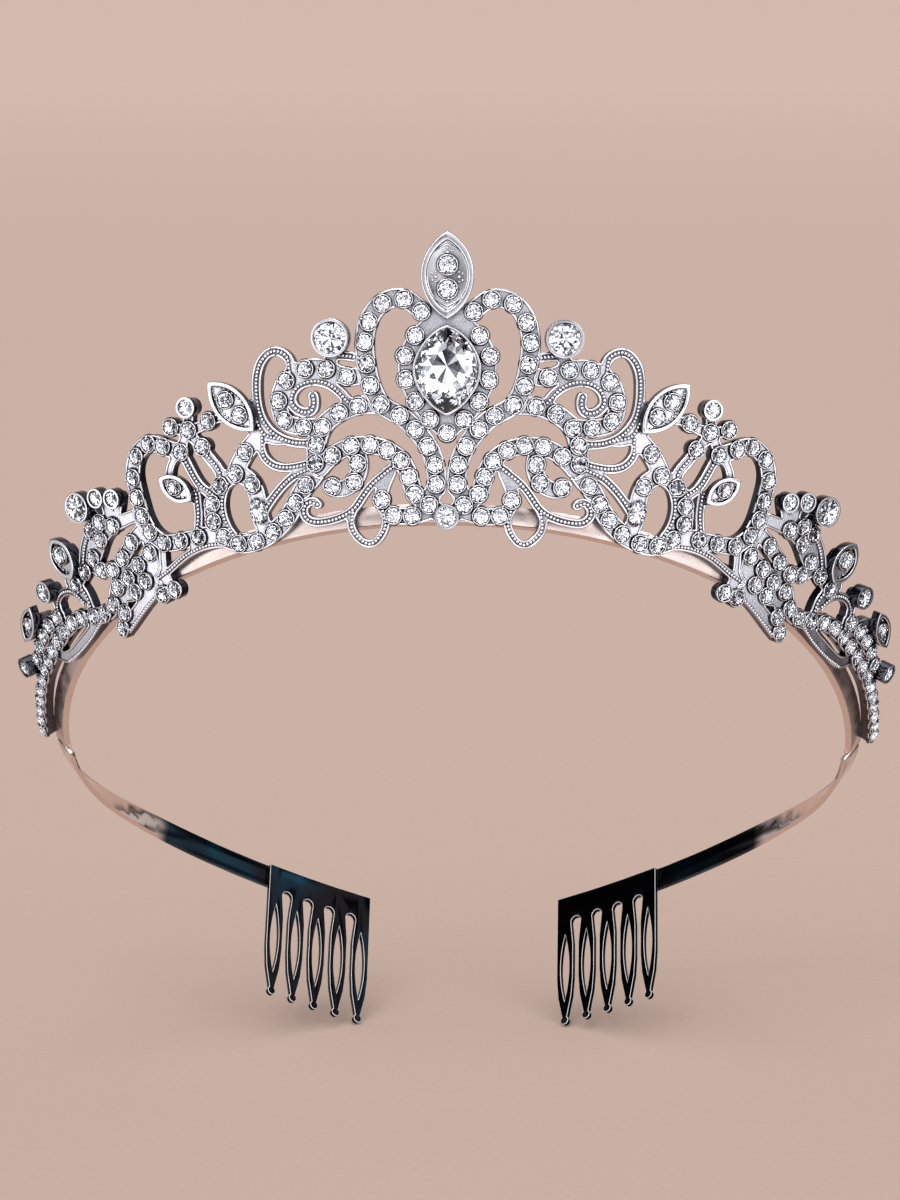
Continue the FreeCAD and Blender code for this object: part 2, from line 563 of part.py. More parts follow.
def comb_outline():
    """Flat outline of a side comb: x along the band, y up; the spine's top is at SPINE_RISE."""
    half = COMB_WIDTH / 2
    top = SPINE_RISE
    tip = top - COMB_LENGTH
    wide = TOOTH_WIDTH / 2
    waist, neck, root = top - 0.645 * COMB_LENGTH, top - 0.79 * COMB_LENGTH, top - 0.387 * COMB_LENGTH
    middles = [(i - (TOOTH_COUNT - 1) / 2) * TOOTH_PITCH for i in range(TOOTH_COUNT)]
    edges = [Part.makeLine(V(-half, top, 0), V(half, top, 0))]
    here = V(half, top, 0)
    for i, x in enumerate(reversed(middles)):
        side = [V(x + wide, waist, 0), V(x + 0.82 * wide, neck, 0), V(x + 0.5, tip + 1.4, 0)]
        for place in side:
            edges.append(Part.makeLine(here, place))
            here = place
        far = V(x - 0.5, tip + 1.4, 0)
        edges.append(Part.Arc(here, V(x, tip, 0), far).toShape())
        here = far
        for place in (V(x - 0.82 * wide, neck, 0), V(x - wide, waist, 0)):
            edges.append(Part.makeLine(here, place))
            here = place
        if i < TOOTH_COUNT - 1:
            slot = x - TOOTH_PITCH / 2
            low = V(x - wide, root, 0)
            edges.append(Part.makeLine(here, low))
            here = V(x - TOOTH_PITCH + wide, root, 0)
            near, over = V(slot + 1.1, top - 5.9, 0), V(slot - 1.1, top - 5.9, 0)
            edges.append(Part.makeLine(low, near))
            edges.append(Part.Arc(near, V(slot, top - 4.7, 0), over).toShape())
            edges.append(Part.makeLine(over, here))
    edges.append(Part.makeLine(here, V(-half, top, 0)))
    wires = [Part.Wire(edges)]
    for x in middles:
        middle = top - 0.561 * COMB_LENGTH
        reach = 0.261 * COMB_LENGTH
        right = Part.Arc(V(x, middle - reach, 0), V(x + 0.95, middle, 0), V(x, middle + reach, 0)).toShape()
        left = Part.Arc(V(x, middle + reach, 0), V(x - 0.95, middle, 0), V(x, middle - reach, 0)).toShape()
        wires.append(Part.Wire([right, left]))
    return Part.makeFace(wires, "Part::FaceMakerBullseye")


def comb(side):
    """A stamped side comb, rolled to the tail's curve and welded to its inner face."""
    point, heading = band_point(BAND_END - COMB_WIDTH / 2)
    along = V(math.cos(heading), math.sin(heading), 0)
    out = V(math.sin(heading), -math.cos(heading), 0)
    turn = FreeCAD.Rotation(along, V(0, 0, 1), out, "ZXY")
    plate = comb_outline().extrude(V(0, 0, 8.0))
    plate.Placement = FreeCAD.Placement(point - out * 6.0, turn)
    hub = point - out * TAIL_RADIUS
    outside = TAIL_RADIUS - STRIP_THICK / 2 - 0.02
    low = hub + V(0, 0, -40)
    shell = Part.makeCylinder(outside, 60, low).cut(Part.makeCylinder(outside - COMB_THICK, 60, low))
    solid = plate.common(shell).removeSplitter()
    solid = solid.Solids[0]
    return solid if side > 0 else solid.mirror(V(0, 0, 0), V(1, 0, 0))


def centre_pieces(outline):
    both = CENTRE_STONES + tuple((-a, u) for a, u in CENTRE_STONES)
    halo = HALO_STONES + tuple((-a, u) for a, u in HALO_STONES) + ((0.0, 14.2),)
    pieces = [keep("centre_casting", wrap(outline, SHEET_BACK, SHEET_FRONT)),
              keep("centre_stones", stones(both, 1)),
              keep("halo_stones", stones(halo, 1))]
    along, up, spin, length, half = FINIAL
    pieces.append(keep("finial_setting",
                       placed(leaf_setting(length, half, 1.9, 0.9, 0.8), seat(0, up, SHEET_FRONT))))
    pair = [placed(round_gem(1.5), on_leaf(FINIAL, 1, rise, SHEET_FRONT + 1.12)) for rise in (1.7, -2.3)]
    pieces.append(keep("finial_stones", Part.makeCompound(pair)))
    middle = seat(0, 25.3, SHEET_FRONT + 0.01)
    pieces.append(keep("drop_setting", placed(drop_setting(5.2, 6.3, 7.8, 1.9, 0.45, 1.0), middle)))
    rest = seat(0, 25.3, SHEET_FRONT + 0.93)
    drop = gem(drop_outline(5.2, 6.3, 7.8), 0.6, 2.6, 0.5)
    pieces.append(keep("drop_crystal", placed(drop, rest)))
    pieces.append(round_cup("base_cup", "base_cup", seat(0, 0.3, SHEET_FRONT)))
    pieces.append(keep("base_stone", placed(round_gem(1.6, 12), seat(0, 0.3, SHEET_FRONT + 0.62))))
    return pieces


def side_pieces(name, side, scroll, flower, end):
    if side < 0:
        scroll, flower, end = mirrored(scroll), mirrored(flower), mirrored(end)
    pieces = [keep("scroll_casting_" + name, wrap(scroll, SHEET_BACK, SHEET_FRONT)),
              keep("flower_casting_" + name, wrap(flower, SHEET_BACK, SHEET_FRONT)),
              keep("end_casting_" + name, wrap(end, SHEET_BACK, SHEET_FRONT)),
              keep("scroll_stones_" + name, stones(SCROLL_STONES, side)),
              keep("flower_stones_" + name, stones(FLOWER_STONES, side)),
              keep("end_stones_" + name, stones(END_STONES, side))]
    pieces.append(round_cup("large_cup_" + name, "oval_cup", seat(side * 15.05, 31.1, SHEET_FRONT)))
    large = placed(round_gem(2.7, 12), seat(side * 15.05, 31.1, SHEET_FRONT + 1.02))
    pieces.append(keep("large_stone_" + name, large))
    bud = placed(cup(1.75, 1.4, 1.6, 0.8), seat(side * 37.1, 25.2, SHEET_FRONT))
    pieces.append(keep("bud_cup_" + name, bud))
    pieces.append(keep("bud_stone_" + name,
                       placed(round_gem(1.38), seat(side * 37.1, 25.2, SHEET_FRONT + 0.82))))
    cups, gems = [], []
    for a, u, radius in END_CUPS:
        cups.append(placed(cup(radius + 0.38, radius + 0.02, END_CUP_HEIGHT, 0.9), seat(side * a, u, SHEET_FRONT)))
        gems.append(placed(round_gem(radius), seat(side * a, u, SHEET_FRONT + END_CUP_HEIGHT - 0.88)))
    pieces.append(keep("end_cups_" + name, Part.makeCompound(cups)))
    pieces.append(keep("end_cup_stones_" + name, Part.makeCompound(gems)))
    for label, leaf, rises, radius in (("shoulder_leaf", SHOULDER_LEAF, (1.6, -2.0), 1.3),
                                       ("arch_leaf", ARCH_LEAF, (0.4,), 1.15),
                                       ("end_leaf", END_LEAF, (0.6,), 1.5),
                                       ("tip_leaf", TIP_LEAF, (0.0,), 1.1)):
        a, u, spin, length, half = leaf
        place = seat(side * a, u, SHEET_FRONT, side * spin)
        pieces.append(keep(label + "_" + name, placed(leaf_setting(length, half, 1.7, 0.6), place)))
        set_in = [placed(round_gem(radius), on_leaf(leaf, side, rise, SHEET_FRONT + 1.02)) for rise in rises]
        pieces.append(keep(label + "_stones_" + name, Part.makeCompound(set_in)))
    small = gem(drop_outline(1.6, 2.2, 2.6), 0.3, 1.2, 0.5)
    pieces.append(keep("side_drop_" + name, placed(small, seat(side * 30.6, 5.2, SHEET_FRONT + 0.02))))
    pieces.append(keep("band_tail_" + name, band_tail(side)))
    pieces.append(keep("comb_" + name, comb(side)))
    return pieces


fill_sheet()
outlines = filigree()
made = [front_band()]
made += centre_pieces(outlines[0])
made += side_pieces("left", 1, *outlines[1:])
made += side_pieces("right", -1, *outlines[1:])
doc.recompute()

for thing in doc.Objects:
    if any(word in thing.State for word in ("Invalid", "Error")):
        raise RuntimeError(thing.Label + " did not compute")
os.makedirs("parts", exist_ok=True)
for piece in made:
    if piece.Shape.isNull() or not piece.Shape.isValid():
        raise RuntimeError(piece.Label + " has no valid shape")
    piece.Shape.exportStep("parts/" + piece.Label + ".step")
    print(piece.Label, len(piece.Shape.Solids), round(piece.Shape.Volume, 2))
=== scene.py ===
import math

import bmesh
import bpy
import numpy as np
from mathutils import Matrix, Vector


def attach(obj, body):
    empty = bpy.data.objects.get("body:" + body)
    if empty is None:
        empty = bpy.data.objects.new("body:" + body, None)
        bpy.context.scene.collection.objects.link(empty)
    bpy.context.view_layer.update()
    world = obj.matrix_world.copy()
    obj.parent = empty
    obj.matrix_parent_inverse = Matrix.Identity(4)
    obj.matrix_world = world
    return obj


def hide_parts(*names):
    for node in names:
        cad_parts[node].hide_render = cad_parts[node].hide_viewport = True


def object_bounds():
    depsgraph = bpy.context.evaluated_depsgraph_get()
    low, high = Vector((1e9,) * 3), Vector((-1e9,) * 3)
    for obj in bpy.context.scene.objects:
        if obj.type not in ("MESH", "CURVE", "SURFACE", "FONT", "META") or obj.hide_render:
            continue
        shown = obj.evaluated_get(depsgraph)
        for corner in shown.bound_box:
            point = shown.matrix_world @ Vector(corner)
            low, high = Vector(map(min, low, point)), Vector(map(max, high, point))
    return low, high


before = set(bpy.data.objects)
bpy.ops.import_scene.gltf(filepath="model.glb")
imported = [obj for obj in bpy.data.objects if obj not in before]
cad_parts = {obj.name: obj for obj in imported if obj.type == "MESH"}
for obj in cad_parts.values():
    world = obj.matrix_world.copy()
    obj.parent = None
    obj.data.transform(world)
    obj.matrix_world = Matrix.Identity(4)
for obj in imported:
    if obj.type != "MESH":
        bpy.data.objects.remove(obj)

cad_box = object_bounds()
MM = 0.001

# The filigree stands on the band as part of a cone: along is the arc length on the band,
# up the height on the leaning sheet, off the distance out of it. All in millimetres.
BAND_RADIUS = 71.0
LEAN = math.radians(37.0)
TILT = math.radians(45.0)
SHEET_FRONT = 1.95
WORN = Matrix.Rotation(-TILT, 4, "X")

# The finial and the two drop stones on the sheet, and the raised face of a marquise setting above it.
FINIAL_RISE = 40.3
FINIAL = (14.6, 4.4)
SETTING_FACE = 1.02
SIDE_DROP = (30.6, 5.2)
BIG_DROP_RISE = 25.3

# A stone in a cup is this much smaller than its CAD disc.
GEM_GAP = 0.10
GRAIN_COUNT = 4
GRAIN_RADIUS = 0.25
RAIL_RADIUS = 0.23
RAIL_INSET = 0.17
RAIL_STEP = 0.42
BEAD_RADIUS = 0.36
BEAD_STEP = 0.62
# Where the tail turns from a pale painted reflection of the paper to a dark painted reflection, as a
# distance sideways in metres, and how ragged that is.
PALE_FROM = (0.0560, 0.0585)
PALE_RAGGED = 0.003
# The pale colour, a painted reflection of the warm paper.
PAPER_REFLECTION_TINT = (0.78, 0.64, 0.58)
# Painted light: the paper's colour grows paler between these two places on the floor, in its own
# metres from its middle.
PAPER_NEAR = -10.0
PAPER_FAR = -7.5
CAMERA_LENS = 126.0
CAMERA_DISTANCE = 0.700
CAMERA_RISE = math.radians(10.0)
CAMERA_SWING = math.radians(2.0)
AIM_DOWN = 0.01367
AIM_RIGHT = 0.0005
SIDES = (("left", 1), ("right", -1))
# Grains in the finial: sideways, up and radius, each on both sides unless it is in the middle.
FINIAL_GRAINS = ((0.0, 3.75, 0.34), (0.0, 4.5, 0.26), (1.95, -0.3, 0.36), (2.5, 0.25, 0.24),
                 (2.5, -0.85, 0.24), (1.9, 0.5, 0.22), (1.9, -1.1, 0.22), (0.0, -4.35, 0.34),
                 (0.7, 4.0, 0.2), (0.6, -4.6, 0.2))
# Name, place along and up, turn in degrees, length, half width, places of its stones, their radius.
LEAVES = (("shoulder_leaf", 30.45, 23.1, -31.0, 11.6, 2.9, (1.6, -2.0), 1.3),
          ("arch_leaf", 42.8, 13.0, -40.0, 7.4, 2.1, (0.4,), 1.15),
          ("end_leaf", 69.3, 13.3, 0.0, 8.0, 2.8, (0.6,), 1.5),
          ("tip_leaf", 86.4, 10.9, 74.0, 8.6, 2.0, (0.0,), 1.1))

# The places (along, up) that each beaded bar of the filigree runs through, on the wearer's left.
ROPE_BARS = (
    (7.6, 9.2, 9.5, 7.8, 11.6, 6.2, 13.4, 4.2, 15.0, 2.4, 17.5, 1.3, 20.3, 1.0, 22.6, 1.6, 23.3, 3.2,
     22.3, 4.6, 20.8, 4.0),
    (10.3, 1.6, 10.2, -1.2, 12.9, -3.7, 15.6, -1.2, 15.2, 1.8),
    (11.0, 27.0, 13.0, 27.7, 15.4, 28.4),
    (14.0, 20.2, 16.0, 23.2, 18.3, 24.4, 20.8, 23.9, 22.0, 21.8, 21.1, 19.9, 19.5, 19.5, 18.8, 20.8,
     18.8, 22.0),
    (21.5, 26.6, 21.6, 29.3, 23.3, 30.5, 25.4, 28.9, 26.6, 25.3, 26.9, 20.5, 25.7, 17.3, 23.2, 15.1,
     20.2, 14.3),
    (24.5, 15.8, 26.9, 17.2, 27.7, 20.0, 28.2, 22.6),
    (20.1, 11.1, 23.6, 10.9, 26.5, 11.8, 27.8, 13.8, 27.4, 16.8),
    (20.8, 10.2, 24.0, 9.3, 27.0, 7.3, 29.6, 5.0),
    (34.6, 10.9, 36.3, 8.6, 36.9, 5.5, 36.2, 2.4),
    (36.2, 10.8, 35.4, 13.2, 36.4, 16.0, 36.9, 17.0),
    (37.6, 10.0, 39.4, 12.5, 40.0, 15.2, 40.4, 17.2),
    (40.4, 11.0, 41.0, 8.0, 42.7, 4.4),
    (36.4, 0.6, 41.0, 2.1, 46.0, 2.0, 50.0, 1.0, 53.0, 0.6),
    (61.7, 14.2, 64.5, 12.6, 67.4, 9.6),
    (70.4, 8.8, 69.8, 5.6, 70.6, 2.6),
    (71.2, 5.2, 72.6, 8.2, 75.4, 9.4, 78.0, 8.4, 79.0, 5.6),
    (52.2, -1.4, 56.0, -2.1, 61.0, -3.5, 65.8, -4.6),
    (69.6, 0.4, 74.0, -0.5, 79.0, -0.5, 83.5, 0.3),
)


def seat(along, up, off, spin=0.0):
    """Matrix in the row frame, in metres: z out of the sheet, y up it."""
    turn = along / BAND_RADIUS
    reach = BAND_RADIUS + up * math.sin(LEAN) + off * math.cos(LEAN)
    place = Vector((reach * math.sin(turn), BAND_RADIUS - reach * math.cos(turn),
                    up * math.cos(LEAN) - off * math.sin(LEAN))) * MM
    across = Vector((math.cos(turn), math.sin(turn), 0))
    out = Vector((math.cos(LEAN) * math.sin(turn), -math.cos(LEAN) * math.cos(turn), -math.sin(LEAN)))
    basis = Matrix((across, out.cross(across), out)).transposed().to_4x4()
    return WORN @ Matrix.Translation(place) @ basis @ Matrix.Rotation(math.radians(spin), 4, "Z")


def on_sheet(point):
    """Where a point in the row frame lies on the sheet: along, up and off, in millimetres."""
    p = (WORN.inverted() @ Vector(point)) / MM
    x, y = p.x, BAND_RADIUS - p.y
    reach = math.hypot(x, y) - BAND_RADIUS
    along = math.atan2(x, y) * BAND_RADIUS
    up = reach * math.sin(LEAN) + p.z * math.cos(LEAN)
    off = reach * math.cos(LEAN) - p.z * math.sin(LEAN)
    return along, up, off


# ---------------------------------------------------------------- materials

def new_material(name):
    """A material, its node tree and its shader."""
    mat = bpy.data.materials.new(name)
    mat.use_nodes = True
    nodes = mat.node_tree.nodes
    shader = next(n for n in nodes if n.type == "BSDF_PRINCIPLED")
    return mat, mat.node_tree, shader


def add(tree, kind, **sockets):
    """A new node with the given socket values."""
    node = tree.nodes.new(kind)
    for key, value in sockets.items():
        node.inputs[key.replace("_", " ")].default_value = value
    return node


def ramp(tree, stops):
    """A colour ramp from (place, colour) stops."""
    node = tree.nodes.new("ShaderNodeValToRGB")
    points = node.color_ramp.elements
    while len(points) < len(stops):
        points.new(0.5)
    for point, (place, colour) in zip(points, stops):
        point.position = place
        point.color = (*colour, 1.0)
    return node


def share(tree, value, low, high):
    """0 where the value is low, 1 where it is high, smooth between."""
    node = tree.nodes.new("ShaderNodeMapRange")
    node.interpolation_type = "SMOOTHSTEP"
    node.inputs["From Min"].default_value = low
    node.inputs["From Max"].default_value = high
    tree.links.new(value, node.inputs["Value"])
    return node.outputs["Result"]


def blended(tree, factor, first, second):
    """The first colour where the factor is 0, the second where it is 1."""
    node = tree.nodes.new("ShaderNodeMix")
    node.data_type = "RGBA"
    for value, key in ((first, "A"), (second, "B")):
        if isinstance(value, tuple):
            node.inputs[key].default_value = (*value, 1.0)
        else:
            tree.links.new(value, node.inputs[key])
    tree.links.new(factor, node.inputs["Factor"])
    return node.outputs["Result"]


def maths(tree, operation, first, second=None):
    """The result of a Math node on numbers or sockets."""
    node = tree.nodes.new("ShaderNodeMath")
    node.operation = operation
    for place, value in enumerate((first, second)):
        if isinstance(value, float):
            node.inputs[place].default_value = value
        elif value is not None:
            tree.links.new(value, node.inputs[place])
    return node.outputs[0]


def vector_maths(tree, operation, first, second=None):
    """The result of a Vector Math node on vectors or sockets."""
    node = tree.nodes.new("ShaderNodeVectorMath")
    node.operation = operation
    for place, value in enumerate((first, second)):
        if isinstance(value, tuple):
            node.inputs[place].default_value = value
        elif value is not None:
            tree.links.new(value, node.inputs[place])
    return node.outputs["Value" if operation == "DOT_PRODUCT" else "Vector"]


def flanks(tree):
    """1 on faces that stand square to the leaning sheet, such as cut sides, and 0 on its front and back.
    Plated metal gets painted shade where it is 1.
    """
    coords = tree.nodes.new("ShaderNodeTexCoord")
    turned = []
    for name in ("Object", "Normal"):
        turn = tree.nodes.new("ShaderNodeVectorRotate")
        turn.rotation_type = "X_AXIS"
        turn.inputs["Angle"].default_value = TILT
        tree.links.new(coords.outputs[name], turn.inputs["Vector"])
        turned.append(turn.outputs[0])
    level = vector_maths(tree, "MULTIPLY", turned[0], (1.0, 1.0, 0.0))
    level = vector_maths(tree, "SUBTRACT", level, (0.0, BAND_RADIUS * MM, 0.0))
    outward = vector_maths(tree, "NORMALIZE", level)
    outward = vector_maths(tree, "MULTIPLY", outward, (math.cos(LEAN),) * 3)
    outward = vector_maths(tree, "SUBTRACT", outward, (0.0, 0.0, math.sin(LEAN)))
    facing = maths(tree, "ABSOLUTE", vector_maths(tree, "DOT_PRODUCT", outward, turned[1]))
    return share(tree, facing, 0.80, 0.25)


def object_coords(tree):
    """Places on the object itself, in metres."""
    return tree.nodes.new("ShaderNodeTexCoord").outputs["Object"]


def plated(name, bright, crevice_shade, rough, grain=9000.0, depth=0.00002, hollow=0.0007, flank_shade=None, metal=1.0):
    """Plated metal: bright on the high places, with painted shade in the crevices, and a fine cast skin.
    Cut sides may get a darker painted shade too."""
    mat, tree, shader = new_material(name)
    link = tree.links.new
    coords = object_coords(tree)
    # Painted shade: ambient occlusion turns the colour from bright towards the dark hollow colour.
    shade = tree.nodes.new("ShaderNodeAmbientOcclusion")
    shade.samples = 6
    shade.inputs["Distance"].default_value = hollow
    tone = ramp(tree, ((0.34, crevice_shade), (0.84, bright)))
    link(shade.outputs["AO"], tone.inputs["Fac"])
    # Painted shade: cut sides take the darker colour given for them.
    colour = blended(tree, flanks(tree), tone.outputs["Color"], flank_shade) if flank_shade else tone.outputs["Color"]
    link(colour, shader.inputs["Base Color"])
    skin = add(tree, "ShaderNodeTexNoise", Scale=grain, Detail=3.0, Roughness=0.6)
    link(coords, skin.inputs["Vector"])
    wear = add(tree, "ShaderNodeTexNoise", Scale=260.0, Detail=4.0)
    link(coords, wear.inputs["Vector"])
    spread = ramp(tree, ((0.35, (rough * 0.6,) * 3), (0.7, (rough * 1.5,) * 3)))
    link(wear.outputs["Fac"], spread.inputs["Fac"])
    link(spread.outputs["Color"], shader.inputs["Roughness"])
    bump = add(tree, "ShaderNodeBump", Strength=0.35, Distance=depth)
    link(skin.outputs["Fac"], bump.inputs["Height"])
    link(bump.outputs["Normal"], shader.inputs["Normal"])
    shader.inputs["Metallic"].default_value = metal
    return mat


def comb_chrome():
    """Smooth plated steel that mirrors a dark room, its dark reflection also painted in as a near-black
    colour, with a faint blue-green film here and there.
    """
    mat, tree, shader = new_material("comb_chrome")
    link = tree.links.new
    coords = object_coords(tree)
    film = add(tree, "ShaderNodeTexNoise", Scale=55.0, Detail=2.0)
    link(coords, film.inputs["Vector"])
    # Painted dark reflection: a near-black base colour, tinged with the teal film.
    tone = ramp(tree, ((0.50, (0.022, 0.020, 0.024)), (0.64, (0.02, 0.04, 0.06)),
                       (0.74, (0.02, 0.15, 0.25))))
    link(film.outputs["Fac"], tone.inputs["Fac"])
    link(tone.outputs["Color"], shader.inputs["Base Color"])
    wear = add(tree, "ShaderNodeTexNoise", Scale=900.0, Detail=5.0)
    link(coords, wear.inputs["Vector"])
    spread = ramp(tree, ((0.3, (0.05,) * 3), (0.75, (0.16,) * 3)))
    link(wear.outputs["Fac"], spread.inputs["Fac"])
    link(spread.outputs["Color"], shader.inputs["Roughness"])
    bump = add(tree, "ShaderNodeBump", Strength=0.12, Distance=0.00002)
    link(wear.outputs["Fac"], bump.inputs["Height"])
    link(bump.outputs["Normal"], shader.inputs["Normal"])
    shader.inputs["Metallic"].default_value = 1.0
    return mat


def tail_chrome():
    """The bare tail: a pale painted reflection of the warm paper where it leaves the filigree, and a dark
    painted reflection towards the comb, with a teal film.
    """
    mat, tree, shader = new_material("tail_chrome")
    link = tree.links.new
    coords = object_coords(tree)
    split = tree.nodes.new("ShaderNodeSeparateXYZ")
    link(coords, split.inputs[0])
    sideways = maths(tree, "ABSOLUTE", split.outputs["X"])
    streaks = add(tree, "ShaderNodeTexNoise", Scale=160.0, Detail=3.0)
    link(coords, streaks.inputs["Vector"])
    ragged = tree.nodes.new("ShaderNodeMath")
    ragged.operation = "MULTIPLY_ADD"
    ragged.inputs[1].default_value = PALE_RAGGED
    link(streaks.outputs["Fac"], ragged.inputs[0])
    link(sideways, ragged.inputs[2])
    pale = share(tree, ragged.outputs[0], *PALE_FROM)
    film = add(tree, "ShaderNodeTexNoise", Scale=60.0, Detail=2.0)
    link(coords, film.inputs["Vector"])
    # Painted dark reflection: a near-black base colour, tinged with the teal film.
    tone = ramp(tree, ((0.46, (0.022, 0.020, 0.026)), (0.58, (0.02, 0.06, 0.09)),
                       (0.70, (0.02, 0.22, 0.36))))
    link(film.outputs["Fac"], tone.inputs["Fac"])
    # The pale part is a painted reflection of the warm paper.
    link(blended(tree, pale, tone.outputs["Color"], PAPER_REFLECTION_TINT), shader.inputs["Base Color"])
    spread = ramp(tree, ((0.3, (0.07,) * 3), (0.75, (0.20,) * 3)))
    link(streaks.outputs["Fac"], spread.inputs["Fac"])
    link(spread.outputs["Color"], shader.inputs["Roughness"])
    bump = add(tree, "ShaderNodeBump", Strength=0.10, Distance=0.00002)
    link(streaks.outputs["Fac"], bump.inputs["Height"])
    link(bump.outputs["Normal"], shader.inputs["Normal"])
    shader.inputs["Metallic"].default_value = 1.0
    return mat


def crystal_clear():
    """The clear crown of a stone."""
    mat, tree, shader = new_material("crystal_clear")
    link = tree.links.new
    coords = object_coords(tree)
    tint = add(tree, "ShaderNodeTexNoise", Scale=420.0, Detail=1.0)
    link(coords, tint.inputs["Vector"])
    tone = ramp(tree, ((0.35, (0.96, 0.97, 1.0)), (0.65, (1.0, 0.98, 0.97))))
    link(tint.outputs["Fac"], tone.inputs["Fac"])
    link(tone.outputs["Color"], shader.inputs["Base Color"])
    shader.inputs["Transmission Weight"].default_value = 1.0
    shader.inputs["IOR"].default_value = 1.6
    shader.inputs["Roughness"].default_value = 0.0
    return mat


def crystal_foil():
    """The silvered back of a stone, seen through its crown."""
    mat, tree, shader = new_material("crystal_foil")
    link = tree.links.new
    coords = object_coords(tree)
    tint = add(tree, "ShaderNodeTexNoise", Scale=900.0, Detail=2.0)
    link(coords, tint.inputs["Vector"])
    tone = ramp(tree, ((0.30, (0.80, 0.82, 0.88)), (0.62, (1.0, 1.0, 1.0))))
    link(tint.outputs["Fac"], tone.inputs["Fac"])
    link(tone.outputs["Color"], shader.inputs["Base Color"])
    shader.inputs["Metallic"].default_value = 1.0
    shader.inputs["Roughness"].default_value = 0.04
    return mat


# Cast silver: near-black painted shade in its crevices and dark painted shade on its cut sides.
SILVER = plated("cast_silver", (0.90, 0.89, 0.94), (0.02, 0.02, 0.03), 0.21, grain=4200.0, depth=0.00013,
                hollow=0.0011, flank_shade=(0.06, 0.06, 0.08))
SHADE = plated("cup_shade", (0.07, 0.07, 0.09), (0.01, 0.01, 0.02), 0.35)
# Settings: painted shade in their crevices and on their cut sides.
BRIGHT = plated("bright_setting", (0.98, 0.97, 1.0), (0.05, 0.05, 0.06), 0.18, depth=0.00001,
                flank_shade=(0.08, 0.08, 0.10))
# The strip's warm tint is a painted reflection of the paper, with painted shade in its crevices.
STRIP = plated("steel_strip", (0.80, 0.66, 0.60), (0.30, 0.25, 0.23), 0.26, grain=2600.0, depth=0.00001)
CHROME = comb_chrome()
TAIL = tail_chrome()
# Painted highlight: a near-white, half-metal colour for the rounded edges of the combs and tails.
EDGE_HIGHLIGHT = plated("painted_edge_highlight", (0.95, 0.93, 0.93), (0.45, 0.44, 0.44), 0.22, grain=3000.0, depth=0.00001,
              metal=0.4)
CLEAR = crystal_clear()
FOIL = crystal_foil()

# ---------------------------------------------------------------- meshes


class Builder:
    """Gathers many small shapes into one mesh."""

    def __init__(self):
        """Starts with nothing in it."""
        self.points = []
        self.faces = []
        self.slots = []

    def put(self, points, faces, matrix, slots=None):
        """Adds a shape at a place, each face with its material slot."""
        base = len(self.points)
        self.points += [matrix @ Vector(p) for p in points]
        self.faces += [tuple(base + i for i in f) for f in faces]
        self.slots += slots or [0] * len(faces)

    def make(self, name, materials, slot, smooth=True):
        """The mesh object of all the shapes, riding on the crown."""
        mesh = bpy.data.meshes.new(name)
        mesh.from_pydata([tuple(p) for p in self.points], [], self.faces)
        for mat in materials:
            mesh.materials.append(mat)
        mesh.polygons.foreach_set("material_index", self.slots)
        mesh.polygons.foreach_set("use_smooth", [smooth] * len(self.faces))
        mesh.update()
        obj = bpy.data.objects.new(name, mesh)
        bpy.context.scene.collection.objects.link(obj)
        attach(obj, "crown")
        return obj


def turned_ring(profile, count):
    """Points and faces of a closed profile turned about z."""
    points = [(r * math.cos(2 * math.pi * i / count), r * math.sin(2 * math.pi * i / count), z)
              for i in range(count) for r, z in profile]
    rows = len(profile)
    faces = []
    for i in range(count):
        here, there = i * rows, (i + 1) % count * rows
        for j in range(rows):
            n = (j + 1) % rows
            faces.append((here + j, there + j, there + n, here + n))
    return points, faces


def ball(radius, rings=4, count=8):
    """Points and faces of a small closed ball."""
    points = []
    for j in range(1, rings):
        level = math.pi * j / rings
        for i in range(count):
            turn = 2 * math.pi * i / count
            wide = radius * math.sin(level)
            points.append((wide * math.cos(turn), wide * math.sin(turn), -radius * math.cos(level)))
    bottom, top, last = len(points), len(points) + 1, (rings - 2) * count
    points += [(0.0, 0.0, -radius), (0.0, 0.0, radius)]
    faces = []
    for i in range(count):
        n = (i + 1) % count
        faces.append((bottom, n, i))
        faces.append((top, last + i, last + n))
        for j in range(rings - 2):
            low, high = j * count, (j + 1) * count
            faces.append((low + i, low + n, high + n, high + i))
    return points, faces


def circle16(radius):
    """Sixteen points round a circle, from the right."""
    return [(radius * math.cos(math.pi * i / 8), radius * math.sin(math.pi * i / 8)) for i in range(16)]


def drop16(wide, above, below):
    """Sixteen points round a drop, from its upper tip, with its two tips above and below."""
    side = [(0.36, 0.86 * above), (0.63, 0.66 * above), (0.87, 0.36 * above), (1.0, 0.0),
            (0.93, -0.33 * below), (0.68, -0.64 * below), (0.36, -0.86 * below)]
    right = [(wide * x, y) for x, y in side]
    return [(0.0, above)] + [(-x, y) for x, y in right] + [(0.0, -below)] + right[::-1]


